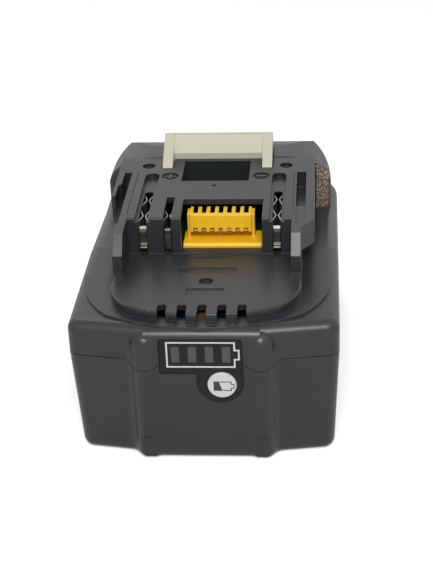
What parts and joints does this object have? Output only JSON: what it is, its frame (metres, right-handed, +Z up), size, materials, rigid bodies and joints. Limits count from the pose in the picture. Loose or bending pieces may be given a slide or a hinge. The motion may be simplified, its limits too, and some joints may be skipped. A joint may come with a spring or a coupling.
{
  "type": "power tool battery pack",
  "caption": "Slide-on battery pack with side rails, contact slots, a sprung latch hook with a thumb button at the rear and a charge gauge with a check button in front.",
  "frame": {"origin": "under the middle of the pack, on the surface that it stands on", "axes": "+Z up towards the rails, -Y the front with the charge gauge, +Y the rear with the latch, +X the right side seen from the front"},
  "size_m": [0.075, 0.113, 0.0649],
  "materials": {
    "case_plastic": "satin textured",
    "latch_plastic": "satin",
    "spring_steel": "drawn wire",
    "cell_wrap": "satin",
    "holder_plastic": "satin",
    "nickel_strap": "brushed",
    "insulating_paper": "matt",
    "foam": "matt",
    "circuit_board": "satin",
    "chip_plastic": "matt",
    "screw_steel": "blackened",
    "terminal_metal": "stamped",
    "connector_plastic": "satin",
    "contact_metal": "plated",
    "panel_plastic": "gloss",
    "lamp_lens": "smoked",
    "button_plastic": "satin",
    "cable_film": "satin",
    "bead_resin": "gloss",
    "foil": "speckled"
  },
  "bodies": {
    "pack": {"board_carrier": "holder_plastic", "board_chips": "chip_plastic", "board_screws": "screw_steel", "case_screws": "screw_steel", "cell_1": "cell_wrap", "cell_10": "cell_wrap", "cell_2": "cell_wrap", "cell_3": "cell_wrap", "cell_4": "cell_wrap", "cell_5": "cell_wrap", "cell_6": "cell_wrap", "cell_7": "cell_wrap", "cell_8": "cell_wrap", "cell_9": "cell_wrap", "cell_holder_left": "holder_plastic", "cell_holder_right": "holder_plastic", "cell_strap_left_1": "nickel_strap", "cell_strap_left_2": "nickel_strap", "cell_strap_left_3": "nickel_strap", "cell_strap_right_1": "nickel_strap", "cell_strap_right_2": "nickel_strap", "cell_strap_right_3": "nickel_strap", "charge_terminal": "terminal_metal", "check_switch": "chip_plastic", "foam_pads": "foam", "foil_label": "foil", "gauge_board": "circuit_board", "gauge_cable": "cable_film", "gauge_leds": "lamp_lens", "gauge_panel": "panel_plastic", "insulator_left": "insulating_paper", "insulator_right": "insulating_paper", "latch_spring_left": "spring_steel", "latch_spring_right": "spring_steel", "lower_case": "case_plastic", "main_circuit_board": "circuit_board", "negative_terminal": "terminal_metal", "positive_terminal": "terminal_metal", "signal_connector": "connector_plastic", "signal_contacts": "contact_metal", "thermistor": "bead_resin", "upper_case": "case_plastic"},
    "latch": {"latch": "latch_plastic"},
    "check_button": {"check_button": "button_plastic", "switch_plunger": "button_plastic"}
  },
  "joints": [
    {"name": "latch_press", "type": "slide", "parent": "pack", "child": "latch", "axis": [0, 0, -1], "range_m": [0, 0.006], "stiffness_N_per_m": 1500, "springref_m": -0.004, "deforming": ["latch_spring_right", "latch_spring_left"]},
    {"name": "check_button_press", "type": "slide", "parent": "pack", "child": "check_button", "axis": [0, 1, 0], "range_m": [0, 0.0006], "stiffness_N_per_m": 1500, "springref_m": -0.0006}
  ]
}
